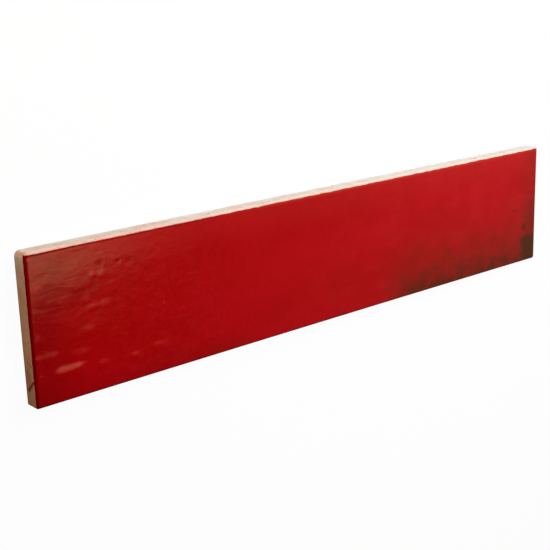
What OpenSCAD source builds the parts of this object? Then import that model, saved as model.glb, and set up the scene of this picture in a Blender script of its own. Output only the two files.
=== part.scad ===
// Glazed wall tile of the long, narrow brick format.
// One fired piece: a pressed biscuit slab with a coat of glaze melted onto its face.
// Frame: the tile lies flat with its glazed face up. +X runs along its length and
// +Y across its width. The origin is the centre of the back, on the bedding plane.
// Millimetres.

/* [Tile] */
// Length of the tile
tile_length = 300; // [150:5:600]
// Width of the tile
tile_width = 60; // [40:1:150]
// Thickness from the bedding plane to the top of the glaze
tile_thickness = 7.5; // [6:0.5:14]
// Radius of the four corners, seen from above
corner_r = 1.6; // [1.5:0.1:4]

/* [Glaze] */
// Thickness of the glaze coat, which is also the radius of its rounded rim
glaze_thickness = 0.5; // [0.2:0.1:0.8]
// Strip of bare biscuit left between the tile's sides and the rim of the glaze
glaze_margin = 0.4; // [0.3:0.1:0.6]

/* [Biscuit edges] */
// Radius of the edges around the face of the biscuit
face_edge_r = 0.8; // [0.6:0.1:1.2]
// Width of the 45 degree bevel around the back
back_bevel = 0.6; // [0.2:0.1:1.2]

/* [Keyed back] */
// Width of the plain rim around the back
key_rim = 6; // [3:0.5:10]
// Width of the ribs between the key pockets
key_rib = 3; // [1:0.5:4]
// Depth of the key pockets
key_depth = 0.6; // [0.3:0.1:1.5]
// Radius of the corners of the key pockets
key_corner_r = 1; // [0.5:0.1:1.5]
// Number of pockets along the tile, even so that a rib crosses the middle
key_columns = 16; // [2:2:16]
// Number of pockets across the tile
key_rows = 3; // [1:1:3]

/* [Hidden] */
$fn = 48;

glaze_red = [0.68, 0.04, 0.07];
biscuit_cream = [0.87, 0.79, 0.71];

// Where the face of the biscuit lies, under its glaze
biscuit_top = tile_thickness - glaze_thickness;
// How deep the coat is keyed into the biscuit, past the rounding of its edges
glaze_root = face_edge_r;
// How far the pocket cutters start below the back
overcut = 1;

// Rounded rectangle around the origin
module rounded_plan(length, width, r) {
    square([length - 2 * r, width], center = true);
    square([length, width - 2 * r], center = true);
    for (sx = [-1, 1], sy = [-1, 1])
        translate([sx * (length / 2 - r), sy * (width / 2 - r)]) circle(r);
}

// Upright section of a slab: centred on x, from y = low to y = high,
// with rounded upper corners and bevelled lower ones
module slab_section(width, low, high, top_r, bevel) {
    side = width / 2;
    shoulder = high - top_r;
    polygon([
        [bevel - side, low], [side - bevel, low], [side, low + bevel], [side, shoulder],
        [side - top_r, shoulder], [side - top_r, high], [top_r - side, high],
        [top_r - side, shoulder], [-side, shoulder], [-side, low + bevel]
    ]);
    for (s = [-1, 1]) translate([s * (side - top_r), shoulder]) circle(top_r);
}

// Slab with one section carried round all its sides and corners
module slab(length, width, plan_r, low, high, top_r, bevel) {
    // Right across the width, between the corners at each end
    rotate([90, 0, 90]) linear_extrude(length - 2 * plan_r, center = true)
        slab_section(width, low, high, top_r, bevel);
    // Right along the length, between the corners at each side
    rotate([90, 0, 0]) linear_extrude(width - 2 * plan_r, center = true)
        slab_section(length, low, high, top_r, bevel);
    // The four corners, turned from the same section
    for (sx = [-1, 1], sy = [-1, 1])
        translate([sx * (length / 2 - plan_r), sy * (width / 2 - plan_r), 0])
            rotate_extrude() intersection() {
                slab_section(2 * plan_r, low, high, top_r, bevel);
                translate([0, low]) square([plan_r, high - low]);
            }
}

// Shallow pockets in the back, in even rows, that adhesive keys into
module key_pockets() {
    pocket_length = (tile_length - 2 * key_rim - (key_columns - 1) * key_rib) / key_columns;
    pocket_width = (tile_width - 2 * key_rim - (key_rows - 1) * key_rib) / key_rows;
    translate([0, 0, -overcut]) linear_extrude(overcut + key_depth)
        for (column = [0 : key_columns - 1], row = [0 : key_rows - 1])
            translate([
                (column - (key_columns - 1) / 2) * (pocket_length + key_rib),
                (row - (key_rows - 1) / 2) * (pocket_width + key_rib)
            ])
                rounded_plan(pocket_length, pocket_width, key_corner_r);
}

// The pressed biscuit, with its keyed back
module biscuit() {
    difference() {
        slab(tile_length, tile_width, corner_r, 0, biscuit_top, face_edge_r, back_bevel);
        key_pockets();
    }
}

// The coat of glaze, rooted in the biscuit and rounded at its rim
module glaze() {
    slab(tile_length - 2 * glaze_margin, tile_width - 2 * glaze_margin,
         corner_r - glaze_margin, biscuit_top - glaze_root, tile_thickness,
         glaze_thickness, 0);
}

// The whole tile, fired as one solid
module tile() {
    union() {
        color(biscuit_cream) biscuit();
        color(glaze_red) glaze();
    }
}

tile();
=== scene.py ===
# %% [markdown]
# # A glazed wall tile
# This lesson dresses one long, narrow ceramic tile. The real one is a slab of pale pressed clay,
# the biscuit, with a coat of red glaze melted over its face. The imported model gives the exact
# size, and everything here is worked out from its box, in metres, with the tile lying on its
# back and its glazed face up.

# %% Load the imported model
import math
import bmesh
import bpy
from mathutils import Matrix, Vector


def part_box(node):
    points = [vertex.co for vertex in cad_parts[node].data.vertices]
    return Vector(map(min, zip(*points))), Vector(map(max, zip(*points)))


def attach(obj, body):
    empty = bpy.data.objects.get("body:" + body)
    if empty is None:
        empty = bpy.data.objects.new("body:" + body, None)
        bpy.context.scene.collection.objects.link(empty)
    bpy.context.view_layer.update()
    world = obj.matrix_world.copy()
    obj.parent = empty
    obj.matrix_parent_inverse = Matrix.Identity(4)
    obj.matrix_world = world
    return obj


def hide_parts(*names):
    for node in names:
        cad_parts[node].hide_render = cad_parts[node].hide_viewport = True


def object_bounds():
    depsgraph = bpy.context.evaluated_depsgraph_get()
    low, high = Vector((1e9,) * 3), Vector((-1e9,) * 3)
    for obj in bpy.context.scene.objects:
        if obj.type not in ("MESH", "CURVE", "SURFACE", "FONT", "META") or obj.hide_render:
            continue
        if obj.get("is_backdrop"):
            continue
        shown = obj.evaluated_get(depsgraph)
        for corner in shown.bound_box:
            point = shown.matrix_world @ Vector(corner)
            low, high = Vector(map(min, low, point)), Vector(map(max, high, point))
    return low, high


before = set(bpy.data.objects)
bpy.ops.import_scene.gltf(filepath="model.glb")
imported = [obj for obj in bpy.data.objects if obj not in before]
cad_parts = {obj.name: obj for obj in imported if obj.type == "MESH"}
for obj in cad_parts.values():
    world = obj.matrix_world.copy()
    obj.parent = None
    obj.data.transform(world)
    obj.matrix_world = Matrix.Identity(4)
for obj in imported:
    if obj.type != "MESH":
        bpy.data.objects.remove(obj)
cad_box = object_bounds()

MM = 0.001
low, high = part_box("tile")
LENGTH, WIDTH, THICKNESS = high - low
TOP = high.z
print("tile", [round(size / MM, 2) for size in (LENGTH, WIDTH, THICKNESS)], "mm")

# %% [markdown]
# ## Camera
# A tile like this is usually shown standing on its long edge. Here it lies down, so the camera
# comes over it instead: it looks at the face from the left end and a little from the far
# side, and it is rolled until the far side is the upper edge of the picture. Placing a camera by
# angles about the subject keeps the view readable: how far it is turned to the end, how far it is
# raised towards the side, how far away it stands and which point it looks at.

# %% Place the camera
VIEW_TURN = math.radians(40.37)
VIEW_RISE = math.radians(15.7)
VIEW_ROLL = math.radians(-1.75)
VIEW_DISTANCE = 484.9 * MM
VIEW_AIM = Vector((-32.40 * MM, -2.02 * MM, TOP))
LENS = 74.0

towards_camera = Vector((
    -math.sin(VIEW_TURN) * math.cos(VIEW_RISE),
    math.sin(VIEW_RISE),
    math.cos(VIEW_TURN) * math.cos(VIEW_RISE),
))
across = Vector((0, 1, 0)).cross(towards_camera).normalized()
upwards = towards_camera.cross(across)
turned = Matrix((across, upwards, towards_camera)).transposed()
rolled = Matrix.Rotation(VIEW_ROLL, 3, towards_camera) @ turned

bpy.ops.object.camera_add(location=VIEW_AIM + towards_camera * VIEW_DISTANCE)
camera = bpy.context.object
camera.name = "camera"
camera.rotation_euler = rolled.to_euler()
camera.data.lens = LENS
camera.data.clip_start = 10 * MM
bpy.context.scene.camera = camera
print("camera at", [round(v / MM, 1) for v in camera.location], "mm")

# %% [markdown]
# ## Helpers for modelling
# An operator in edit mode acts on whatever is selected. These helpers start from an empty
# selection and then pick faces or edges by where they lie, which is what clicking does by hand.

# %% Selection helpers
def deselect_all():
    """Leaves nothing selected and no object active."""
    bpy.ops.object.select_all(action="DESELECT")
    bpy.context.view_layer.objects.active = None


def begin_editing(piece):
    """Opens one piece in edit mode with nothing on it selected."""
    deselect_all()
    piece.select_set(True)
    bpy.context.view_layer.objects.active = piece
    bpy.ops.object.mode_set(mode="EDIT")
    bpy.ops.mesh.select_all(action="DESELECT")


def select(kind, test):
    """Selects the edges or the faces of the open mesh whose vertices all pass the test."""
    bpy.ops.mesh.select_mode(type="EDGE" if kind == "edges" else "FACE")
    mesh = bpy.context.object.data
    edited = bmesh.from_edit_mesh(mesh)
    for part in getattr(edited, kind):
        part.select_set(all(test(vertex.co) for vertex in part.verts))
    bmesh.update_edit_mesh(mesh)


def apply_modifiers(piece):
    """Applies every modifier of a piece in order."""
    deselect_all()
    piece.select_set(True)
    bpy.context.view_layer.objects.active = piece
    for modifier in list(piece.modifiers):
        bpy.ops.object.modifier_apply(modifier=modifier.name)


# %% [markdown]
# ## The slab
# The real slab comes out of a steel die: a plain block with softened corners, rounded edges
# round the face where the glaze will flow over, and a small bevel round the back. It could be
# drawn as a section and swept, but a cube with bevelled edges is quicker and stays closed. The
# order matters: the upright corners come first, so that the later bevels run round them. No two
# corners of a pressed tile wear the same, so each has its own radius.

# %% Block out the slab
CORNER_RADII = {
    (-1, 1): 2.2 * MM,
    (-1, -1): 1.0 * MM,
    (1, 1): 1.6 * MM,
    (1, -1): 1.3 * MM,
}
FACE_EDGE_R = 1.0 * MM
BACK_BEVEL = 0.6 * MM
TINY = 0.01 * MM

deselect_all()
bpy.ops.mesh.primitive_cube_add(size=1)
tile = bpy.context.object
tile.name = "glazed_tile"
begin_editing(tile)
bpy.ops.mesh.select_all(action="SELECT")
bpy.ops.transform.resize(value=(LENGTH, WIDTH, THICKNESS))
bpy.ops.transform.translate(value=(0, 0, THICKNESS / 2))

for (side_x, side_y), radius in CORNER_RADII.items():
    corner = Vector((side_x * LENGTH / 2, side_y * WIDTH / 2))
    select("edges", lambda co: (co.xy - corner).length < TINY)
    bpy.ops.mesh.bevel(offset=radius, segments=6, affect="EDGES")

select("edges", lambda co: co.z > TOP - TINY)
bpy.ops.mesh.bevel(offset=FACE_EDGE_R, segments=6, affect="EDGES")
select("edges", lambda co: co.z < TINY)
bpy.ops.mesh.bevel(offset=BACK_BEVEL, segments=1, affect="EDGES")
bpy.ops.object.mode_set(mode="OBJECT")
print("slab has", len(tile.data.polygons), "faces")

# %% [markdown]
# ## The keyed back
# The back of a pressed tile is a grid of shallow pockets, so that adhesive can grip it. The
# ribs between them stay in the bedding plane. Bisecting the back face draws the grid, and one
# inset with a depth sinks every pocket at once, with the sloped walls that let the die lift out.

# %% Draw the grid of the key pockets
KEY_RIM = 6 * MM
KEY_RIB = 3 * MM
KEY_DEPTH = 0.6 * MM
KEY_SLOPE = 0.35 * MM
KEY_COLUMNS = 16
KEY_ROWS = 3


def pocket_edges(span, count):
    """The low and high edge of each pocket along one direction of the back."""
    pocket = (span - 2 * KEY_RIM - (count - 1) * KEY_RIB) / count
    starts = [-span / 2 + KEY_RIM + i * (pocket + KEY_RIB) for i in range(count)]
    return [(start, start + pocket) for start in starts]


def on_back(co):
    return co.z < TINY


def cut(place, normal, test):
    """Cuts the faces that pass the test with one plane."""
    select("faces", test)
    bpy.ops.mesh.bisect(plane_co=place, plane_no=normal)


def within(value, spans):
    return any(start - TINY < value < end + TINY for start, end in spans)


columns = pocket_edges(LENGTH, KEY_COLUMNS)
rows = pocket_edges(WIDTH, KEY_ROWS)
begin_editing(tile)
for edge_pair in columns:
    for x in edge_pair:
        cut((x, 0, 0), (1, 0, 0), on_back)
for edge_pair in rows:
    for y in edge_pair:
        cut((0, y, 0), (0, 1, 0), on_back)
print("grid drawn for", len(columns), "by", len(rows), "pockets")

# %% [markdown]
# The faces that lie within a column and a row of the grid are the pockets. They are all chosen
# first, and then sunk together.

# %% Sink the key pockets
bpy.ops.mesh.select_mode(type="FACE")
edited = bmesh.from_edit_mesh(tile.data)
pockets = 0
for face in edited.faces:
    middle = face.calc_center_median()
    sunk = on_back(middle) and within(middle.x, columns) and within(middle.y, rows)
    face.select_set(sunk)
    pockets += sunk
bmesh.update_edit_mesh(tile.data)
bpy.ops.mesh.inset(thickness=KEY_SLOPE, depth=-KEY_DEPTH, use_individual=True)
bpy.ops.object.mode_set(mode="OBJECT")
print("key pockets", pockets)

# %% [markdown]
# ## A fine net over the face
# Glaze isn't flat: it flows and freezes in slow waves and small ripples, and a glossy surface
# shows them in its reflections. They are real shape here, so the face needs a fine net of
# vertices first. Bisecting by parallel planes draws the lines that run along the tile, and a few
# more planes part it into equal spans. That leaves long strips, and subdividing their long edges
# then crosses them all in one step.

# %% Cut the net
NET_ACROSS = 0.5 * MM
NET_ALONG = 0.8 * MM
STRAIGHT = LENGTH / 2 - max(CORNER_RADII.values())
SPANS = 4
SPAN = 2 * STRAIGHT / SPANS


def above_back(co):
    return co.z > BACK_BEVEL / 2


begin_editing(tile)
strips = int(WIDTH / NET_ACROSS)
for i in range(strips):
    cut((0, (i + 0.5 - strips / 2) * NET_ACROSS, 0), (0, 1, 0), above_back)
for i in range(SPANS + 1):
    cut((-STRAIGHT + i * SPAN, 0, 0), (1, 0, 0), above_back)

bpy.ops.mesh.select_mode(type="EDGE")
edited = bmesh.from_edit_mesh(tile.data)
for edge in edited.edges:
    start, end = (vertex.co for vertex in edge.verts)
    edge.select_set(abs(start.x - end.x) > SPAN / 2 and above_back(start) and above_back(end))
bmesh.update_edit_mesh(tile.data)
bpy.ops.mesh.subdivide(number_cuts=int(SPAN / NET_ALONG))
bpy.ops.object.mode_set(mode="OBJECT")
print("net has", len(tile.data.vertices), "vertices")

# %% [markdown]
# ## Waves and ripples in the glaze
# A vertex group says how freely each vertex may move: fully on the open face, less towards the
# rim where the coat is thin, and not at all on the clay.

# %% Say how freely the coat moves
FREE_INSET = 5 * MM
RIM_FREEDOM = 0.15


def ease(share):
    """Rises smoothly from 0 to 1 as the share does."""
    share = min(max(share, 0), 1)
    return share * share * (3 - 2 * share)


def freedom(co):
    """How far a vertex follows the waves, from 0 on the clay to 1 on the open face."""
    if co.z < TOP - FACE_EDGE_R / 2:
        return 0
    inset = min(LENGTH / 2 - abs(co.x), WIDTH / 2 - abs(co.y))
    return RIM_FREEDOM + (1 - RIM_FREEDOM) * ease(inset / FREE_INSET)


coat = tile.vertex_groups.new(name="glaze_coat")
for vertex in tile.data.vertices:
    coat.add([vertex.index], freedom(vertex.co), "REPLACE")
print("vertices that may move", sum(freedom(v.co) > 0 for v in tile.data.vertices))

# %% [markdown]
# Displace modifiers then raise and lower the face with cloud textures. Where a texture has its
# still value the coat stays put. The ripples read their texture through an empty that is
# stretched along the tile, because the glaze was poured that way.

# %% Lift the glaze into waves
WAVE_SIZE = 34 * MM
WAVE_HEIGHT = 0.24 * MM
RIPPLE_SIZE = 3.8 * MM
RIPPLE_HEIGHT = 0.043 * MM
RIPPLE_STRETCH = 1.8
STILL_VALUE = 0.7

deselect_all()
bpy.ops.object.empty_add()
stretch = bpy.context.object
stretch.scale = (RIPPLE_STRETCH, 1, 1)
bpy.context.view_layer.update()


def add_waves(name, size, height, depth, guide=None):
    """Adds one Displace modifier that moves the coat up and down about its own level."""
    texture = bpy.data.textures.new(name, type="CLOUDS")
    texture.noise_scale = size
    texture.noise_depth = depth
    waves = tile.modifiers.new(name, type="DISPLACE")
    waves.texture = texture
    waves.texture_coords = "OBJECT" if guide else "LOCAL"
    waves.texture_coords_object = guide
    waves.direction = "Z"
    waves.vertex_group = coat.name
    waves.strength = height
    waves.mid_level = STILL_VALUE


add_waves("slow_waves", WAVE_SIZE, WAVE_HEIGHT, 1)
add_waves("ripples", RIPPLE_SIZE, RIPPLE_HEIGHT, 2, stretch)
apply_modifiers(tile)
bpy.data.objects.remove(stretch)


def print_face(step):
    """Prints how low and how high the face reaches after one step."""
    heights = [v.co.z for v in tile.data.vertices if v.co.z > TOP - FACE_EDGE_R / 2]
    print(step, "face from", round(min(heights) / MM, 3), "to", round(max(heights) / MM, 3), "mm")


print_face("waves:")

# %% [markdown]
# The real coat slumps a little before it turns the corner at the left end and along the left
# part of the far side, so its shoulder is softer there. A second vertex group and a Displace
# modifier without a texture lower it evenly.

# %% Soften the shoulders
SHOULDER_DROP = 0.15 * MM
SHOULDER_DEPTH = 1.2 * MM
SHOULDER_STEEPNESS = 1.5
LEFT_REACH = 1.4 * MM
FAR_REACH = 2.2 * MM
FAR_SHARE = 0.8
FAR_SOFT_END = -40 * MM
FAR_SOFT_FADE = 50 * MM


def shoulder_share(co):
    rise = (co.z - TOP + SHOULDER_DEPTH) / SHOULDER_DEPTH
    if rise < 0:
        return 0
    left = max(1 - (co.x + LENGTH / 2) / LEFT_REACH, 0)
    far = max(1 - (WIDTH / 2 - co.y) / FAR_REACH, 0)
    far_share = FAR_SHARE * ease((FAR_SOFT_END - co.x) / FAR_SOFT_FADE)
    return max(left * left, far * far * far_share) * min(rise * SHOULDER_STEEPNESS, 1)


def shift(name, direction, distance, share):
    """Moves every vertex along one axis by its share of a distance."""
    group = tile.vertex_groups.new(name=name)
    for vertex in tile.data.vertices:
        group.add([vertex.index], share(vertex.co), "REPLACE")
    modifier = tile.modifiers.new(name, type="DISPLACE")
    modifier.direction = direction
    modifier.vertex_group = group.name
    modifier.strength = distance
    modifier.mid_level = 0
    apply_modifiers(tile)


shift("soft_shoulders", "Z", -SHOULDER_DROP, shoulder_share)
print("shoulders lowered by up to", round(SHOULDER_DROP / MM, 2), "mm")

# %% [markdown]
# The kiln also draws a long tile a little out of true. The near side isn't quite straight: its
# middle lies a quarter of a millimetre further in than its ends. The right end isn't quite
# square either: its near corner stands out by an eighth of a millimetre, and its far corner lies
# as much further in.

# %% Draw it out of true
BOW_DEPTH = 0.25 * MM
BOW_REACH = 20 * MM
SKEW = 0.25 * MM


def bow_share(co):
    near = ease(1 - (co.y + WIDTH / 2) / BOW_REACH)
    return near * max(1 - (2 * co.x / LENGTH) ** 2, 0)


def skew_share(co):
    return max(2 * co.x / LENGTH, 0) * -co.y / WIDTH


shift("bow", "Y", BOW_DEPTH, bow_share)
shift("skew", "X", SKEW, skew_share)
print("now", [round(size / MM, 2) for size in tile.dimensions], "mm")

# %% [markdown]
# Some marks are single events: a drip that froze as a low ridge, a pinhole that sank. Each is
# written down with its place, how far its effect reaches and how high it rises.

# %% List the drips and dimples
# start x, end x, y, reach and rise of each, in millimetres
DRIPS = {
    "broad_dip": (-127, -115, 5.0, 9.0, -0.050),
    "long_drip": (-139, -130, -18.8, 3.8, 0.150),
    "long_hollow": (-138, -131, -14.4, 3.4, -0.070),
    "left_drip": (-145, -141, -11.6, 3.0, 0.090),
    "left_bead": (-149, -148, -11.0, 2.4, 0.080),
    "faint_drip": (-134, -129, -13.6, 3.0, 0.045),
    "short_drip": (-121, -119, -19.4, 2.8, 0.105),
    "low_drip": (-106, -104, -20.2, 2.6, 0.130),
    "far_drip": (-95, -91, -19.2, 3.2, 0.150),
    "middle_drip": (-126, -124, -5.0, 3.0, 0.035),
    "rim_drip": (-148, -146, -4.4, 2.8, 0.045),
    "high_ridge": (-127, -125, 7.0, 2.4, 0.022),
    "low_ridge": (-124, -122, 4.0, 2.4, 0.045),
    "slanted_ridge": (-118, -115, 4.0, 2.6, 0.045),
    "dark_fold": (-131, -122, 11.0, 2.4, -0.010),
    "left_dent": (-147, -144, 8.4, 2.2, -0.016),
    "first_pit": (-119.5, -118.5, 20.5, 1.6, -0.060),
    "second_pit": (-111.5, -110.5, 19.5, 1.5, -0.060),
    "third_pit": (-106.5, -105.5, 18.7, 1.5, -0.050),
    "first_bead": (-122.5, -121.5, 16.4, 1.8, 0.050),
    "second_bead": (-118.5, -117.5, 15.8, 2.4, 0.060),
}
print("marks in the face", len(DRIPS))

# %% [markdown]
# They are pressed in with proportional editing, one row of vertices at a time: the row is lifted
# or pushed down, and the net around it follows softly. Smooth shading up to a small angle then
# hides the net and keeps the edges of the back crisp.

# %% Press in the drips and dimples
PRESS_DEPTH = 0.5 * MM
ROW_REACH = NET_ACROSS * 0.6
SMOOTH_ANGLE = math.radians(32)


def press(start_x, end_x, y, reach, rise):
    """Moves one row of the face up or down, with a soft falloff round it."""
    bpy.ops.mesh.select_mode(type="VERT")
    bpy.ops.mesh.select_all(action="DESELECT")
    edited = bmesh.from_edit_mesh(tile.data)
    for vertex in edited.verts:
        co = vertex.co
        near = abs(co.y - y) < ROW_REACH and start_x - NET_ALONG / 2 < co.x
        vertex.select_set(near and co.x < end_x + NET_ALONG / 2 and co.z > TOP - PRESS_DEPTH)
    bmesh.update_edit_mesh(tile.data)
    bpy.ops.transform.translate(
        value=(0, 0, rise),
        use_proportional_edit=True,
        proportional_edit_falloff="SMOOTH",
        proportional_size=reach,
    )


begin_editing(tile)
for measures in DRIPS.values():
    press(*(measure * MM for measure in measures))
bpy.ops.object.mode_set(mode="OBJECT")

deselect_all()
tile.select_set(True)
bpy.context.view_layer.objects.active = tile
bpy.ops.object.shade_smooth_by_angle(angle=SMOOTH_ANGLE)
print_face("marks:")

# %% [markdown]
# ## Helpers for materials
# A material is a small machine of nodes. These helpers add one node at a time and return the
# socket that matters, so that a finish reads like a sum.

# %% Node helpers
class Nodes:
    """Adds nodes to one material and wires them as they are made."""

    def __init__(self, name):
        self.material = bpy.data.materials.new(name)
        self.material.use_nodes = True
        self.tree = self.material.node_tree
        self.tree.nodes.clear()

    def feed(self, socket, value):
        """Links a socket to an input, or sets the input to a number or a colour."""
        if isinstance(value, bpy.types.NodeSocket):
            self.tree.links.new(value, socket)
        else:
            socket.default_value = value

    def sum(self, operation, *values):
        """One step of arithmetic on numbers or sockets."""
        node = self.tree.nodes.new("ShaderNodeMath")
        node.operation = operation
        for socket, value in zip(node.inputs, values):
            self.feed(socket, value)
        return node.outputs[0]

    def ease(self, value, start, end, low=0.0, high=1.0):
        """Goes smoothly from low to high as the value goes from start to end."""
        node = self.tree.nodes.new("ShaderNodeMapRange")
        node.interpolation_type = "SMOOTHSTEP"
        for name, number in zip(
            ("Value", "From Min", "From Max", "To Min", "To Max"), (value, start, end, low, high)
        ):
            self.feed(node.inputs[name], number)
        return node.outputs[0]

    def blend(self, share, first, second, how="MIX"):
        """Mixes a share of the second colour into the first."""
        node = self.tree.nodes.new("ShaderNodeMix")
        node.data_type = "RGBA"
        node.blend_type = how
        self.feed(node.inputs["Factor"], share)
        self.feed(node.inputs["A"], first)
        self.feed(node.inputs["B"], second)
        return node.outputs["Result"]

    def coordinates(self):
        """The place of each point on the piece, in metres from its origin."""
        return self.tree.nodes.new("ShaderNodeTexCoord").outputs["Object"]

    def place(self, stretch=(1, 1, 1), shift=(0, 0, 0)):
        """The same place, stretched and shifted, for a pattern to read."""
        where = self.coordinates()
        node = self.tree.nodes.new("ShaderNodeMapping")
        self.tree.links.new(where, node.inputs["Vector"])
        node.inputs["Scale"].default_value = stretch
        node.inputs["Location"].default_value = shift
        return node.outputs[0]

    def cloud(self, size, detail=2.0, stretch=(1, 1, 1), shift=(0, 0, 0), roughness=0.5):
        """Cloudy noise around 0.5, whose lumps are about the given size in metres."""
        node = self.tree.nodes.new("ShaderNodeTexNoise")
        self.tree.links.new(self.place(stretch, shift), node.inputs["Vector"])
        node.inputs["Scale"].default_value = 1 / size
        node.inputs["Detail"].default_value = detail
        node.inputs["Roughness"].default_value = roughness
        return node.outputs[0]


def colour(red, green, blue):
    return (red, green, blue, 1)


# %% [markdown]
# ## Where the glaze ends
# The coat covers the face and rolls over its rim, but on the far long side it was wiped back to
# the top of the rounding, and there the bare clay edge shows. It never reaches far down the
# sides, so the back stays bare too. The mask below is 1 on glaze and 0 on clay. It measures how
# far inside the coat's own outline a point lies, and a little noise makes the line waver by a
# few tenths of a millimetre, as a real one does.

# %% Mask of the coat
BARE_FAR_SIDE = 0.82 * MM
END_DEPTH = 0.62 * MM
NEAR_DEPTH = 1.05 * MM
COAT_REACH = 2.5 * MM
LINE_WAVER = 0.40 * MM
LINE_SOFTNESS = 0.05 * MM

finish = Nodes("fired_tile")
position = finish.tree.nodes.new("ShaderNodeSeparateXYZ")
finish.tree.links.new(finish.coordinates(), position.inputs[0])
x, y, z = position.outputs


def inside_line():
    """Distance inside the coat's outline in metres, negative on the clay."""
    far = finish.sum("SUBTRACT", WIDTH / 2 - BARE_FAR_SIDE, y)
    end = finish.sum("SUBTRACT", LENGTH / 2, finish.sum("ABSOLUTE", x))
    end = finish.sum("ADD", end, finish.sum("SUBTRACT", z, TOP - END_DEPTH))
    near = finish.sum("ADD", y, WIDTH / 2)
    near = finish.sum("ADD", near, finish.sum("SUBTRACT", z, TOP - NEAR_DEPTH))
    nearest = finish.sum("MINIMUM", finish.sum("MINIMUM", far, end), near)
    above = finish.sum("SUBTRACT", z, TOP - COAT_REACH)
    nearest = finish.sum("MINIMUM", nearest, above)
    waver = finish.sum("SUBTRACT", finish.cloud(3.5 * MM, detail=4, roughness=0.6), 0.5)
    return finish.sum("MULTIPLY_ADD", waver, 2 * LINE_WAVER, nearest)


coat_inset = inside_line()
coat_mask = finish.ease(coat_inset, -LINE_SOFTNESS, LINE_SOFTNESS)


def print_nodes(step):
    """Prints how many nodes the finish has after one step."""
    print(step, "brings the finish to", len(finish.tree.nodes), "nodes")


print_nodes("coat mask")

# %% [markdown]
# Drips, pits, clots and specks are all small ovals with torn edges, so they share one helper. A
# table of places, sizes and strengths then says everything about a kind of mark.

# %% Helpers for small marks
def oval(middle_x, middle, length, width, second=None):
    """The square of the distance from a place in millimetres, 1 on the oval around it."""
    second = y if second is None else second
    away_x = finish.sum("MULTIPLY", finish.sum("SUBTRACT", x, middle_x * MM), 2 / (length * MM))
    away = finish.sum("MULTIPLY", finish.sum("SUBTRACT", second, middle * MM), 2 / (width * MM))
    return finish.sum("MULTIPLY_ADD", away_x, away_x, finish.sum("MULTIPLY", away, away))


torn_edge = finish.sum("MULTIPLY_ADD", finish.cloud(1.2 * MM, detail=3), 1.6, -0.8)
print_nodes("torn edge")


def spot(*measures, second=None):
    """A soft, ragged oval mark, 1 inside and 0 outside."""
    away = finish.sum("ADD", oval(*measures, second=second), torn_edge)
    return finish.ease(away, 1.5, 0.2)


def marks(table, second=None):
    """Many marks at once: at each point the strongest of them counts."""
    strongest = 0.0
    for *measures, strength in table:
        mark = finish.sum("MULTIPLY", spot(*measures, second=second), strength)
        strongest = finish.sum("MAXIMUM", strongest, mark)
    return strongest


# %% [markdown]
# ## The glaze
# Deep crimson, a little cloudy, with fine mottling where it lies thick over the clay. Where the
# coat thins towards the bare far edge it turns lighter and more orange, and that lighter colour
# also carries a painted highlight along the far rim and a painted reflection near the far side.
# Painted shade darkens the rounded rims at the left end and along the far side, and the near side
# of the face's left half. One corner is burnt: an umber bloom creeps in from the end and the near
# side and breaks up into short streaks. All of this is pattern in the one base colour, because
# glaze is a single glossy layer.

# %% Colour of the glaze
CRIMSON = colour(0.432, 0.0007, 0.0032)
DEEP_CRIMSON = colour(0.395, 0.0004, 0.0014)
THIN_GLAZE_AND_SHEEN = colour(0.50, 0.035, 0.024)
RIM_SHADE_RED = colour(0.19, 0.0005, 0.0005)

# middle x, middle y, length and width of each darker patch in millimetres, and the share of light
# it leaves
DARKER_PATCHES = (
    (-131, 17, 28, 22, 0.82),
    (-109, 20, 22, 14, 0.91),
    (-144, 4, 14, 24, 0.90),
)

cloudiness = finish.ease(finish.cloud(22 * MM, detail=3, stretch=(0.5, 1, 1)), 0.35, 0.65)
red = finish.blend(cloudiness, CRIMSON, DEEP_CRIMSON)
mottle = finish.ease(finish.cloud(1.8 * MM, detail=3), 0.35, 0.7, 0.95, 1.035)
red = finish.blend(1.0, red, mottle, how="MULTIPLY")
speckle = finish.ease(finish.cloud(0.9 * MM, detail=3), 0.3, 0.7, -0.13, 0.09)
speckle = finish.sum("MULTIPLY", speckle, finish.ease(x, -45 * MM, -115 * MM))
speckle = finish.sum("MULTIPLY", speckle, finish.ease(y, -14 * MM, 6 * MM, 0.3, 1.0))
red = finish.blend(1.0, red, finish.sum("ADD", speckle, 1.0), how="MULTIPLY")

far_inset = finish.sum("SUBTRACT", WIDTH / 2 - BARE_FAR_SIDE, y)
# Lighter and more orange where the coat thins at the far edge. Towards the right this is also a
# painted highlight on the far rim, and the broad faint band is a painted reflection over the face
# near the far side.
thin_and_sheen = finish.ease(far_inset, 0, 1.6 * MM, 0.60, 0.0)
thin_and_sheen = finish.sum("MULTIPLY", thin_and_sheen, finish.ease(x, -90 * MM, -10 * MM))
thin_and_sheen = finish.sum("ADD", thin_and_sheen, finish.ease(far_inset, 0, 16 * MM, 0.13, 0.0))
red = finish.blend(thin_and_sheen, red, THIN_GLAZE_AND_SHEEN)
# Painted shade: the coat's rounded rim is darker along the left part of the far side and along the
# left end, where it turns away from the lamps and mirrors nothing.
far_rim_shade = finish.ease(far_inset, 0.4 * MM, 1.2 * MM, 0.5, 0.0)
far_rim_shade = finish.sum("MULTIPLY", far_rim_shade, finish.ease(x, -20 * MM, -90 * MM))
left_inset = finish.sum("ADD", x, LENGTH / 2)
left_rim_shade = finish.ease(left_inset, 0.5 * MM, 2.0 * MM, 0.62, 0.0)
red = finish.blend(finish.sum("MAXIMUM", far_rim_shade, left_rim_shade), red, RIM_SHADE_RED)
left_shade = finish.ease(left_inset, 0, 26 * MM, 0.76, 1.0)
red = finish.blend(1.0, red, left_shade, how="MULTIPLY")
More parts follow.
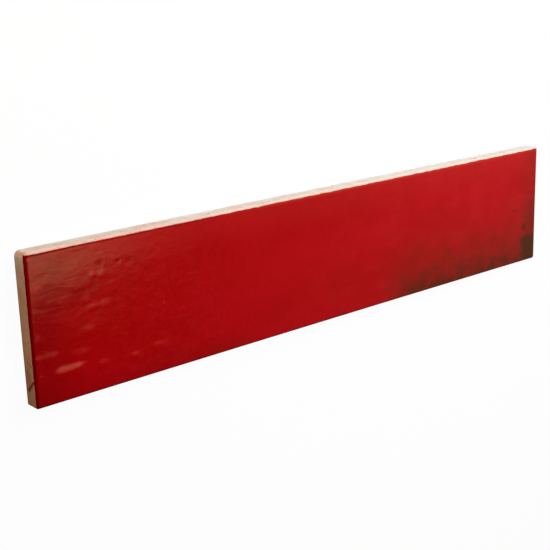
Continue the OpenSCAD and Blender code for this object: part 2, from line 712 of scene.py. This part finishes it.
# Darker patches over the left part of the face.
for *measures, light_left in DARKER_PATCHES:
    depth = finish.ease(oval(*measures), 1.7, 0.2, 1.0, light_left)
    red = finish.blend(1.0, red, depth, how="MULTIPLY")
near_inset = finish.sum("ADD", y, WIDTH / 2)
# Painted shade: the left half of the face darkens towards the near side.
near_side_shade = finish.ease(near_inset, 0, 11 * MM, 0.83, 1.0)
near_side_shade = finish.sum("MAXIMUM", near_side_shade, finish.ease(x, -95 * MM, -45 * MM, 0.0, 1.0))
red = finish.blend(1.0, red, near_side_shade, how="MULTIPLY")
print_nodes("colour of the glaze")

# %% [markdown]
# Drips and small patches in the upper left are painted paler: painted highlights that stand in for
# the overhead lamps they mirror, over a coat that is thick and milky where a drip froze. Pinholes
# are the opposite: small dark pits, partly painted shade. A thin milky cloud also drifts through
# the right half of the coat, partly a painted reflection that grows towards the right, and finer
# wisps through part of the left.

# %% Painted drip highlights and pinholes
MILKY_AND_HIGHLIGHT = colour(0.60, 0.020, 0.019)
PIT_SHADE_RED = colour(0.20, 0.003, 0.002)

# middle x, middle y, length and width of each mark in millimetres, and its strength
DRIP_HIGHLIGHTS = (
    (-148.2, 27.4, 1.8, 1.2, 0.60),
    (-136.8, -17.4, 8.5, 2.4, 0.42),
    (-131.6, -16.5, 9.0, 1.8, 0.42),
    (-141.2, -10.1, 4.0, 2.4, 0.28),
    (-147.0, -10.2, 3.0, 3.0, 0.16),
    (-147.2, -1.8, 2.2, 1.8, 0.28),
    (-147.2, -17.4, 1.6, 1.4, 0.30),
    (-129.5, -11.8, 8.0, 3.0, 0.20),
    (-125.0, -3.0, 4.4, 2.8, 0.26),
    (-119.6, -18.0, 4.6, 1.8, 0.24),
    (-105.0, -18.7, 3.4, 1.7, 0.34),
    (-93.5, -17.2, 8.5, 1.8, 0.24),
    (-125.5, 8.8, 3.4, 4.0, 0.26),
    (-117.5, 5.2, 4.2, 3.4, 0.18),
    (-122.0, 5.6, 3.6, 3.2, 0.26),
    (-121.8, 17.5, 2.6, 3.0, 0.24),
    (-117.9, 17.0, 1.8, 5.2, 0.30),
    (-146.0, 16.3, 3.8, 3.4, 0.26),
    (-113.6, -6.1, 2.8, 1.2, 0.24),
    (-90.5, -1.2, 1.8, 2.6, 0.22),
    (-91.6, 20.4, 1.8, 1.8, 0.22),
    (-81.0, -5.0, 2.0, 1.4, 0.20),
    (-77.5, 7.8, 4.4, 1.8, 0.12),
)
PINHOLES_AND_SHADE = (
    (-110.8, 19.9, 1.5, 1.2, 0.42),
    (-110.8, 18.3, 1.3, 1.0, 0.38),
    (-105.2, 18.4, 1.6, 1.8, 0.30),
    (-115.6, 22.0, 1.2, 1.0, 0.34),
    (-118.2, 20.2, 2.6, 1.6, 0.40),
    (-98.0, 14.2, 1.4, 1.8, 0.28),
    (-139.6, 25.2, 0.7, 5.0, 0.28),
    (-144.4, 8.4, 5.0, 1.8, 0.40),
    (-128.0, 11.1, 8.5, 2.4, 0.42),
    (-145.0, 15.2, 1.6, 1.0, 0.34),
    (-142.0, 15.8, 1.2, 0.9, 0.30),
    (-135.7, 15.8, 1.6, 0.9, 0.34),
    (-137.7, 8.2, 1.8, 1.8, 0.30),
    (-142.8, 5.9, 1.2, 1.0, 0.28),
    (-129.1, 6.6, 1.2, 1.0, 0.28),
    (-112.2, 13.6, 1.2, 2.4, 0.16),
    (-94.0, -8.5, 1.0, 4.0, 0.22),
)
print("drip highlights", len(DRIP_HIGHLIGHTS), "pinholes", len(PINHOLES_AND_SHADE))

# %% [markdown]
# The painted drip highlights are laid over the red in fine streaks, because milky glaze pulls out
# as it runs.

# %% Lay the marks over the red
streaks = finish.ease(finish.cloud(0.9 * MM, detail=3, stretch=(0.4, 1, 1)), 0.35, 0.65, 0.45, 1.2)
# A thin milky cloud, stronger towards the right, where it is partly a painted reflection of the
# brighter side of the room.
milk_and_highlights = finish.cloud(8 * MM, detail=4, stretch=(0.5, 1, 1), shift=(0.4, 0.2, 0))
milk_and_highlights = finish.ease(milk_and_highlights, 0.42, 0.68, 0.0, 0.11)
milk_and_highlights = finish.sum("MULTIPLY", milk_and_highlights, finish.ease(x, -70 * MM, 60 * MM))
wisps = finish.cloud(2.2 * MM, detail=4, stretch=(0.6, 1, 1), shift=(0.1, 0.3, 0))
wisps = finish.ease(wisps, 0.42, 0.66, 0.0, 0.08)
wisps = finish.sum("MULTIPLY", wisps, finish.ease(x, -126 * MM, -108 * MM))
wisps = finish.sum("MULTIPLY", wisps, finish.ease(x, -40 * MM, -80 * MM))
milk_and_highlights = finish.sum("ADD", milk_and_highlights, wisps)
milk_and_highlights = finish.sum("MULTIPLY_ADD", marks(DRIP_HIGHLIGHTS), streaks, milk_and_highlights)
red = finish.blend(milk_and_highlights, red, MILKY_AND_HIGHLIGHT)
# Pinholes and painted shade: the dark red stands in for small dents where the ripples break the
# reflection.
pits_and_shade = marks(PINHOLES_AND_SHADE)
red = finish.blend(pits_and_shade, red, PIT_SHADE_RED)
print_nodes("drip highlights and pinholes")

# %% [markdown]
# The burn is strongest in one corner. From there a band follows the near side and fades upwards,
# and a haze climbs the end. Noise tears all three into patches. Each is a share of one scorched
# colour, so their places and strengths are all that has to be set.

# %% Burnt corner
UMBER = colour(0.090, 0.0130, 0.0016)
OLIVE_SOOT = colour(0.066, 0.0155, 0.0014)
BAND_START = 30 * MM
BROAD_SHARE = 0.44
RIM_SHARE = 0.40
HAZE_SHARE = 0.62
END_SHARE = 0.52
ARRIS_SHARE = 0.42

end_inset = finish.sum("SUBTRACT", LENGTH / 2, x)


def ragged(value, size, amount):
    """A value pushed up and down by noise, so that a line drawn through it looks torn."""
    tear = finish.sum("SUBTRACT", finish.cloud(size, detail=4, roughness=0.62), 0.5)
    return finish.sum("MULTIPLY_ADD", tear, amount, value)


broad = finish.ease(ragged(near_inset, 10 * MM, 16 * MM), 32 * MM, 9 * MM, 0.0, BROAD_SHARE)
low_band = finish.ease(ragged(near_inset, 6 * MM, 6 * MM), 13 * MM, 2 * MM, 0.0, RIM_SHARE)
torn = finish.ease(finish.cloud(6 * MM, detail=4, roughness=0.6), 0.35, 0.65, 0.68, 1.15)
band = finish.sum("MULTIPLY", finish.sum("ADD", broad, low_band), torn)
start = ragged(x, 14 * MM, 24 * MM)
band = finish.sum("MULTIPLY", band, finish.ease(start, BAND_START, BAND_START + 26 * MM))

haze = finish.ease(ragged(end_inset, 6 * MM, 8 * MM), 18 * MM, 4 * MM, 0.0, HAZE_SHARE)
haze = finish.sum("MULTIPLY", haze, finish.ease(y, 10 * MM, -8 * MM, 0.32, 1.0))
end_rim = finish.ease(ragged(end_inset, 3 * MM, 4 * MM), 7 * MM, 1 * MM, 0.0, END_SHARE)
end_rim = finish.sum("MULTIPLY", end_rim, finish.ease(y, 26 * MM, -6 * MM, 0.35, 1.0))
arris = finish.ease(end_inset, 2.2 * MM, 0.6 * MM, 0.0, ARRIS_SHARE)
arris = finish.sum("MULTIPLY", arris, finish.ease(y, 29 * MM, 12 * MM))
haze = finish.sum("MAXIMUM", haze, finish.sum("MAXIMUM", end_rim, arris))
corner_x = finish.ease(ragged(end_inset, 4 * MM, 3 * MM), 19.5 * MM, 8 * MM)
corner_y = finish.ease(ragged(y, 4 * MM, 3 * MM), -11 * MM, -18.5 * MM)
corner = finish.sum("MULTIPLY", corner_x, corner_y)
burn = finish.sum("MAXIMUM", finish.sum("MAXIMUM", band, haze), corner)
print_nodes("burnt corner")

# %% [markdown]
# Darker clots lie in the burn and beside it. The strongest of clot and bloom counts at each
# point, and a fine grit breaks both up. The scorched colour is umber, and it turns to olive soot
# in the corner block.

# %% Clots in the burn
# middle x, middle y, length and width of each clot in millimetres, and its strength
CLOTS = (
    (140.4, -11.2, 4.2, 5.2, 0.86),
    (145.2, -5.8, 2.0, 2.0, 0.70),
    (132.5, -1.4, 5.5, 1.8, 0.48),
    (133.2, -14.5, 1.8, 1.4, 0.45),
    (118.0, -24.8, 2.8, 5.0, 0.74),
    (123.2, -25.5, 3.0, 6.0, 0.60),
    (103.0, -28.2, 5.0, 2.0, 0.80),
    (98.0, -21.5, 6.0, 4.0, 0.58),
    (91.5, -17.0, 3.0, 2.0, 0.50),
    (83.5, -17.6, 5.0, 1.8, 0.55),
    (84.0, -20.4, 4.0, 1.6, 0.55),
    (81.0, -28.0, 8.0, 2.0, 0.80),
    (72.0, -25.3, 2.4, 3.0, 0.85),
    (67.0, -23.0, 3.0, 2.0, 0.72),
    (64.0, -25.0, 7.0, 4.0, 0.52),
    (50.0, -28.2, 10.0, 2.2, 0.70),
    (35.5, -23.6, 4.0, 1.6, 0.42),
    (42.0, -16.8, 3.0, 3.6, 0.30),
    (126.5, -11.0, 4.0, 2.4, 0.34),
    (112.0, -12.5, 3.4, 2.0, 0.32),
    (104.5, -14.0, 2.4, 2.6, 0.40),
    (119.0, -17.5, 2.2, 4.4, 0.38),
    (111.0, -21.0, 2.6, 4.6, 0.42),
    (58.0, -15.5, 6.0, 2.2, 0.28),
    (44.2, 9.6, 1.4, 2.6, 0.30),
    (137.6, 20.5, 1.4, 4.5, 0.22),
    (140.0, 15.5, 1.6, 5.0, 0.20),
    (7.0, -28.3, 4.0, 1.4, 0.50),
    (-1.0, -28.6, 3.0, 1.2, 0.45),
    (-20.0, -27.6, 10.0, 2.0, 0.14),
    (-50.0, -26.8, 14.0, 3.5, 0.10),
    (-65.0, -27.0, 12.0, 4.5, 0.10),
)
burn = finish.sum("MAXIMUM", burn, marks(CLOTS))
grit = finish.ease(finish.cloud(1.3 * MM, detail=3, roughness=0.6), 0.3, 0.7, 0.86, 1.12)
burn = finish.sum("MINIMUM", finish.sum("MULTIPLY", burn, grit), 1.0)
scorched = finish.blend(corner, UMBER, OLIVE_SOOT)
glaze_colour = finish.blend(burn, red, scorched)
print("clots in the burnt band", len(CLOTS))

# %% [markdown]
# ## The biscuit
# Fired clay without glaze: matt, chalky and slightly pink. It grows darker towards the left end. On
# the left end itself it is warmer, and darker towards the near side, partly kiln colour and partly
# painted shade. It took more colour from the kiln along the rim of the glaze. It has a fine grain
# and a few dark specks of iron.

# %% Colour of the biscuit
CREAM = colour(0.755, 0.725, 0.705)
PINK_CLAY = colour(0.73, 0.58, 0.525)
GREY_CLAY = colour(0.69, 0.70, 0.63)
LEFTWARD_DARKER = colour(0.90, 0.86, 0.85)
UPPER_SCORCH_AND_SHADE = colour(1.00, 0.82, 0.64)
MIDDLE_SCORCH_AND_SHADE = colour(0.99, 0.66, 0.41)
LOWER_SCORCH_AND_SHADE = colour(0.85, 0.53, 0.31)
SALMON = colour(0.86, 0.42, 0.32)
END_BLUSH = colour(0.85, 0.27, 0.21)
YELLOWED = colour(0.99, 0.97, 0.92)
WARM_RIM = colour(0.93, 0.79, 0.73)
WHITE = colour(1, 1, 1)
IRON = colour(0.16, 0.08, 0.05)
SCAR_BROWN = colour(0.24, 0.05, 0.02)
print("cream clay is", CREAM[:3])

# %% [markdown]
# The far side has dark specks of iron, and the left end has a nick, scuffs and dark lines along its
# back edge. Such a scar is a line and not an oval, so it needs a helper of its own.

# %% Specks and scars of the biscuit
# x, z, length and height of each speck on the far side in millimetres, and its strength
SPECKS = (
    (-89.3, 2.9, 2.0, 0.8, 0.30),
    (-80.1, 6.2, 2.0, 0.8, 0.30),
    (-65.0, 5.2, 2.2, 1.0, 0.75),
    (-36.7, 6.2, 1.6, 0.9, 0.60),
    (-32.9, 5.6, 2.2, 0.9, 0.60),
    (84.5, 6.0, 1.8, 0.9, 0.60),
    (102.3, 5.0, 2.4, 1.2, 0.85),
    (109.9, 4.2, 1.8, 1.0, 0.60),
)

# start and end (y, z), width in millimetres and strength of each scar on the left end
SCARS = {
    "nick": ((-12.2, 3.6), (-13.6, 6.4), 0.45, 0.75),
    "upper_scuff": ((-19.2, 6.9), (-20.8, 5.0), 0.90, 0.95),
    "lower_scuff": ((-20.8, 5.0), (-23.4, 2.4), 0.95, 0.95),
    "smudge": ((-16.5, 3.6), (-22.5, 3.2), 3.20, 0.28),
    "rear_line": ((-4.0, 0.9), (-30.0, 0.9), 0.50, 0.45),
    "rear_trace": ((26.0, 0.8), (2.0, 0.8), 0.35, 0.30),
}


print("specks", len(SPECKS), "scars", len(SCARS))


def stroke(first, second, start, end, width):
    """A soft, ragged line between two places in millimetres, 1 on it and 0 beside it."""
    run = Vector(end) * MM - Vector(start) * MM
    away_first = finish.sum("SUBTRACT", first, start[0] * MM)
    away_second = finish.sum("SUBTRACT", second, start[1] * MM)
    along = finish.sum("MULTIPLY", away_first, run.x / run.length_squared)
    along = finish.sum("MULTIPLY_ADD", away_second, run.y / run.length_squared, along)
    along = finish.sum("MINIMUM", finish.sum("MAXIMUM", along, 0.0), 1.0)
    gap_first = finish.sum("MULTIPLY_ADD", along, -run.x, away_first)
    gap_second = finish.sum("MULTIPLY_ADD", along, -run.y, away_second)
    square = finish.sum("MULTIPLY", gap_second, gap_second)
    gap = finish.sum("SQRT", finish.sum("MULTIPLY_ADD", gap_first, gap_first, square))
    tear = finish.sum("SUBTRACT", finish.cloud(1.0 * MM, detail=3), 0.5)
    gap = finish.sum("MULTIPLY_ADD", tear, 1.2 * width * MM, gap)
    return finish.ease(gap, width * MM, 0.3 * width * MM)


# %% [markdown]
# The clay is built up from the widest change to the finest: pink and grey patches first, then the
# darkening towards the left end and the warm colour of the left end itself, partly kiln colour and
# partly painted shade, and then its grain.

# %% Patches, scorching with painted shade, and grain
on_far_side = finish.ease(y, WIDTH / 2 - 0.8 * MM, WIDTH / 2 - 0.4 * MM)
patches = finish.ease(finish.cloud(6 * MM, detail=3), 0.40, 0.62)
rim_stain = finish.ease(z, TOP - 5.0 * MM, TOP - 2.0 * MM, 0.0, 0.35)
rim_stain = finish.sum("MULTIPLY", rim_stain, on_far_side)
patches = finish.sum("MINIMUM", finish.sum("ADD", patches, rim_stain), 1.0)
patches = finish.sum("MULTIPLY", patches, finish.ease(x, -60 * MM, 60 * MM, 1.0, 0.55))
clay = finish.blend(patches, CREAM, PINK_CLAY)
grey_patches = finish.ease(finish.cloud(5 * MM, detail=3, shift=(0.2, 0, 0)), 0.50, 0.64)
clay = finish.blend(finish.sum("MULTIPLY", grey_patches, 0.8), clay, GREY_CLAY)
yellowed = finish.sum("MULTIPLY", finish.ease(z, 1.5 * MM, 4.0 * MM), on_far_side)
clay = finish.blend(1.0, clay, finish.blend(yellowed, WHITE, YELLOWED), how="MULTIPLY")
# Darker towards the left end.
leftward_darkening = finish.blend(finish.ease(x, -150 * MM, -40 * MM, 1.0, 0.0), WHITE, LEFTWARD_DARKER)
clay = finish.blend(1.0, clay, leftward_darkening, how="MULTIPLY")
# The left end is tinted warm and darkens towards the near side: partly kiln colour, partly painted
# shade.
scorch_and_shade = finish.blend(finish.ease(y, -30 * MM, -12 * MM), LOWER_SCORCH_AND_SHADE, MIDDLE_SCORCH_AND_SHADE)
scorch_and_shade = finish.blend(finish.ease(y, 12 * MM, 28 * MM), scorch_and_shade, UPPER_SCORCH_AND_SHADE)
scorch_and_shade = finish.blend(finish.ease(left_inset, 0.3 * MM, 2.5 * MM), scorch_and_shade, WHITE)
clay = finish.blend(1.0, clay, scorch_and_shade, how="MULTIPLY")
grain = finish.ease(finish.cloud(0.5 * MM, detail=3, roughness=0.7), 0.3, 0.7, 0.90, 1.04)
clay = finish.blend(1.0, clay, grain, how="MULTIPLY")
print_nodes("patches and grain")

# %% [markdown]
# Next to the glaze the clay is warmer, where a little colour soaked in. The scars and specks
# come last, so that nothing paints over them.

# %% Rim, scars and specks
far_rim = finish.ease(y, WIDTH / 2 - 1.4 * MM, WIDTH / 2 - 1.0 * MM)
warm_rim = finish.sum("MULTIPLY", finish.ease(far_inset, -0.80 * MM, -0.35 * MM), far_rim)
clay = finish.blend(1.0, clay, finish.blend(warm_rim, WHITE, WARM_RIM), how="MULTIPLY")
blush = finish.sum("MULTIPLY", finish.ease(far_inset, -0.75 * MM, -0.1 * MM), far_rim)
blush = finish.sum("MULTIPLY", blush, finish.ease(finish.cloud(4 * MM, detail=3), 0.4, 0.6))
clay = finish.blend(finish.sum("MULTIPLY", blush, 0.7), clay, SALMON)
on_left_end = finish.ease(left_inset, 0.5 * MM, 0.2 * MM)
end_blush = finish.ease(coat_inset, -0.95 * MM, -0.15 * MM, 0.0, 0.8)
end_blush = finish.sum("MULTIPLY", end_blush, finish.ease(y, 6 * MM, -10 * MM))
clay = finish.blend(finish.sum("MULTIPLY", end_blush, on_left_end), clay, END_BLUSH)
for mark, (start, end, width, strength) in SCARS.items():
    scar = finish.sum("MULTIPLY", stroke(y, z, start, end, width), on_left_end)
    clay = finish.blend(finish.sum("MULTIPLY", scar, strength), clay, SCAR_BROWN)
specks = finish.sum("MULTIPLY", marks(SPECKS, second=z), on_far_side)
clay = finish.blend(specks, clay, IRON)
speck_field = finish.cloud(1.6 * MM, detail=1, shift=(0.3, 0.1, 0))
clay = finish.blend(finish.ease(speck_field, 0.72, 0.78), clay, IRON)
print_nodes("rim, scars and specks")

# %% [markdown]
# ## How much it mirrors
# The coat mirrors the room on the open face, and loses its shine where it thins out at the rim
# and where a pit breaks it. A second mask sets how much it mirrors. It measures the distance in
# from each side, and the near side is bowed, so the bow is taken off there.

# %% Where the surface shines
FULL_SHINE = 0.5

bow_line = finish.sum("MULTIPLY", finish.sum("MULTIPLY", x, x), -4 / LENGTH ** 2)
bow_line = finish.sum("MULTIPLY_ADD", bow_line, BOW_DEPTH, BOW_DEPTH)
from_near = finish.sum("SUBTRACT", near_inset, bow_line)
from_far = finish.sum("SUBTRACT", WIDTH / 2, y)
from_ends = finish.sum("SUBTRACT", LENGTH / 2, finish.sum("ABSOLUTE", x))
from_rim = finish.sum("MINIMUM", finish.sum("MINIMUM", from_near, from_far), from_ends)
shine = finish.ease(from_rim, 0.45 * MM, 1.10 * MM, 0.0, FULL_SHINE)
shine = finish.sum("MULTIPLY", shine, finish.sum("MULTIPLY_ADD", pits_and_shade, -1.0, 1.0))
print("the open face mirrors at a level of", FULL_SHINE)

# %% [markdown]
# ## One surface
# Glaze and clay are fired into one piece, so they share one Principled shader. The coat's mask
# picks the colour and the roughness, and the bump carries what is too fine to model: the grain
# of the clay, and a faint orange peel in the glaze that keeps its reflections from being perfect.

# %% Join glaze and biscuit
GLAZE_ROUGHNESS = 0.12
CLAY_ROUGHNESS = 0.85
PEEL_HEIGHT = 0.024 * MM
GRAIN_HEIGHT = 0.05 * MM

surface = finish.tree.nodes.new("ShaderNodeBsdfPrincipled")
finish.feed(surface.inputs["Base Color"], finish.blend(coat_mask, clay, glaze_colour))
finish.feed(
    surface.inputs["Roughness"], finish.ease(coat_mask, 0, 1, CLAY_ROUGHNESS, GLAZE_ROUGHNESS)
)
finish.feed(surface.inputs["Specular IOR Level"], shine)
peel = finish.cloud(1.6 * MM, detail=1.5, stretch=(0.4, 1, 1))
clay_grain = finish.cloud(0.35 * MM, detail=3, roughness=0.7)
coat_relief = finish.sum("MULTIPLY", peel, PEEL_HEIGHT)
coat_rise = finish.ease(coat_inset, -0.05 * MM, 0.30 * MM)
bare = finish.sum("SUBTRACT", 1, coat_mask)
height = finish.sum(
    "ADD",
    finish.sum("MULTIPLY", coat_relief, coat_rise),
    finish.sum("MULTIPLY", finish.sum("MULTIPLY", clay_grain, GRAIN_HEIGHT), bare),
)
bump = finish.tree.nodes.new("ShaderNodeBump")
bump.inputs["Strength"].default_value = 1
bump.inputs["Distance"].default_value = 1
finish.feed(bump.inputs["Height"], height)
finish.feed(surface.inputs["Normal"], bump.outputs[0])
output = finish.tree.nodes.new("ShaderNodeOutputMaterial")
finish.feed(output.inputs["Surface"], surface.outputs[0])
tile.data.materials.clear()
tile.data.materials.append(finish.material)
print("fired_tile has", len(finish.tree.nodes), "nodes")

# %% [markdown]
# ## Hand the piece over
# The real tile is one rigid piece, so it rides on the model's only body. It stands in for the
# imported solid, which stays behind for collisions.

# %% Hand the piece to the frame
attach(tile, "root")
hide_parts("tile")
print(tile.name, "stands in for the packed tile")

# %% [markdown]
# ## The studio
# The tile lies on a pale round floor whose wall is low and far away. What the camera and the
# reflections see of it is nearly all even white, so it stays pale whatever the lamps do. The
# small rest is ordinary paint, which takes the tile's shadow. To light that bounces about, the
# floor is mid grey paint, so that it throws little light up at the clay.

# %% Floor
FLOOR_RADIUS = 3.0
RIM_WIDTH = FLOOR_RADIUS / 10
WALL_HEIGHT = 0.5
FLOOR_GAP = 0.02 * MM
FLOOR_WHITE = 0.96
PALE_GREY = colour(0.9, 0.9, 0.9)
MID_GREY = colour(0.45, 0.45, 0.45)

deselect_all()
bpy.ops.mesh.primitive_circle_add(
    vertices=96, radius=FLOOR_RADIUS, fill_type="NGON", location=(0, 0, -FLOOR_GAP)
)
floor = bpy.context.object
floor.name = "floor"
begin_editing(floor)
bpy.ops.mesh.select_all(action="SELECT")
bpy.ops.mesh.inset(thickness=RIM_WIDTH)
bpy.ops.mesh.select_mode(type="VERT")
bpy.ops.mesh.select_all(action="DESELECT")
edited = bmesh.from_edit_mesh(floor.data)
for vertex in edited.verts:
    vertex.select_set(vertex.co.xy.length > FLOOR_RADIUS - RIM_WIDTH / 2)
bmesh.update_edit_mesh(floor.data)
bpy.ops.transform.translate(value=(0, 0, WALL_HEIGHT))
bpy.ops.object.mode_set(mode="OBJECT")
print("floor", 2 * FLOOR_RADIUS, "m across")

# %% [markdown]
# Light Path tells which kind of ray asks for the floor's colour, so that one material can be
# white to some rays and grey paint to the others.

# %% Paint the floor
paint = Nodes("floor_paint")
path = paint.tree.nodes.new("ShaderNodeLightPath")
seen = paint.sum("MAXIMUM", path.outputs["Is Camera Ray"], path.outputs["Is Glossy Ray"])
seen = paint.sum("MAXIMUM", seen, path.outputs["Is Transmission Ray"])
matt = paint.tree.nodes.new("ShaderNodeBsdfDiffuse")
paint.feed(matt.inputs["Color"], paint.blend(seen, MID_GREY, PALE_GREY))
glow = paint.tree.nodes.new("ShaderNodeEmission")
join = paint.tree.nodes.new("ShaderNodeMixShader")
paint.feed(join.inputs[0], paint.sum("MULTIPLY", seen, FLOOR_WHITE))
paint.feed(join.inputs[1], matt.outputs[0])
paint.feed(join.inputs[2], glow.outputs[0])
output = paint.tree.nodes.new("ShaderNodeOutputMaterial")
paint.feed(output.inputs["Surface"], join.outputs[0])
floor.data.materials.append(paint.material)
floor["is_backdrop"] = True
print("floor paint has", len(paint.tree.nodes), "nodes")

# %% [markdown]
# ## Lamps
# One large soft lamp stands beyond the far side and towards the right end. It rakes the bare
# clay edge, and its light falls off along the face, so the left end is darker. Six dim panels
# overhead, one a little above the other, are what the glaze mirrors at its upper left corner:
# they add up in steps, and the ripples in the face break their reflection into patches. A small
# warm lamp lights the left end and is kept out of the reflections.

# %% Place the lamps
def add_panel(name, place, aim, width, height, brightness, tint=(1, 1, 1)):
    """A soft box of the given brightness, where 1 is white, seen from the point that it faces."""
    bpy.ops.object.light_add(type="AREA", location=place)
    lamp = bpy.context.object
    lamp.name = name
    lamp.data.shape = "RECTANGLE"
    lamp.data.size = width
    lamp.data.size_y = height
    lamp.data.energy = brightness * math.pi * width * height
    lamp.data.color = tint
    facing = (Vector(aim) - Vector(place)).to_track_quat("-Z", "Y")
    lamp.rotation_euler = facing.to_euler()
    print(name, "power", round(lamp.data.energy, 2), "W")
    return lamp


CENTRE = (0, 0, TOP)
KEY_PLACE = (0.165, 0.25, 0.34)
KEY_SIZE = 0.30
KEY_BRIGHTNESS = 9.7
add_panel("key_lamp", KEY_PLACE, CENTRE, KEY_SIZE, KEY_SIZE, KEY_BRIGHTNESS)

# %% [markdown]
# A mirror shows a lamp where the ray from the camera, mirrored in the surface, meets it. So each
# overhead panel is given by the part of the face that it should light up in the camera's view,
# and its corners are found by following those rays up to the panel's level.

# %% Hang the glows overhead
# left, right, near and far limits of each glow on the face in millimetres, and its brightness
GLOWS = {
    "low_glow": (-178, -127, 4.5, 38, 0.17),
    "end_glow": (-178, -142, 10.5, 19, 0.30),
    "middle_glow": (-178, -123, 13.6, 38, 0.44),
    "wide_glow": (-178, -98, 20.0, 38, 0.35),
    "trailing_glow": (-120, -82, 17.0, 38, 0.13),
    "corner_glow": (-178, -122, 21.5, 38, 0.48),
}
PANEL_LEVEL = 0.52
GLOW_TINT = (1, 0.92, 0.48)


def mirrored(x, y, level):
    """Where the ray that the flat face mirrors into the camera from one point meets a level."""
    point = Vector((x, y, TOP))
    return point + (point - camera.location) * Vector((1, 1, -1)) * (
        (level - TOP) / (camera.location.z - TOP)
    )


for i, (name, (left, right, near, far, brightness)) in enumerate(GLOWS.items()):
    level = PANEL_LEVEL + i * MM
    start = mirrored(left * MM, near * MM, level)
    end = mirrored(right * MM, far * MM, level)
    middle = (start + end) / 2
    size = end - start
    below = (middle.x, middle.y, 0)
    add_panel(name, middle, below, size.x, size.y, brightness, GLOW_TINT)

# %% [markdown]
# The fill is small and warm, and stands off the left end, whose clay would be too dark without it.

# %% Warm the left end
LEFT_END = (-LENGTH / 2, 0, 0)
FILL_PLACE = (-0.30, 0.26, 0.11)
FILL_SIZE = 0.20
FILL_BRIGHTNESS = 4.5
FILL_TINT = (1, 0.80, 0.65)

warm_fill = add_panel(
    "warm_fill", FILL_PLACE, LEFT_END, FILL_SIZE, FILL_SIZE, FILL_BRIGHTNESS, FILL_TINT
)
warm_fill.visible_glossy = False

# %% [markdown]
# The room itself is dim, so that the glaze keeps its depth, but it is a little brighter on the
# right: the polished face mirrors that side more and more towards its right end.

# %% Air of the room
DARK_SIDE = 0.01
BRIGHT_SIDE = 0.24
GRADIENT_START = 0.42
GRADIENT_END = 1.0

world = bpy.data.worlds.new("studio_air")
bpy.context.scene.world = world
world.use_nodes = True
tree = world.node_tree
direction = tree.nodes.new("ShaderNodeTexCoord")
split = tree.nodes.new("ShaderNodeSeparateXYZ")
gradient = tree.nodes.new("ShaderNodeMapRange")
gradient.interpolation_type = "SMOOTHSTEP"
gradient.inputs["From Min"].default_value = GRADIENT_START
gradient.inputs["From Max"].default_value = GRADIENT_END
gradient.inputs["To Min"].default_value = DARK_SIDE
gradient.inputs["To Max"].default_value = BRIGHT_SIDE
background = tree.nodes["Background"]
background.inputs["Color"].default_value = colour(1, 1, 1)
tree.links.new(direction.outputs["Generated"], split.inputs[0])
tree.links.new(split.outputs["X"], gradient.inputs["Value"])
tree.links.new(gradient.outputs[0], background.inputs["Strength"])
bpy.context.scene.view_settings.view_transform = "Standard"
print("air from", DARK_SIDE, "to", BRIGHT_SIDE)

# %% Compare the boxes
visual_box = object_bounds()
boxes = {
    "cad": [list(corner) for corner in cad_box],
    "visual": [list(corner) for corner in visual_box],
}
for name, corners in boxes.items():
    print(name, [[round(v / MM, 3) for v in corner] for corner in corners])
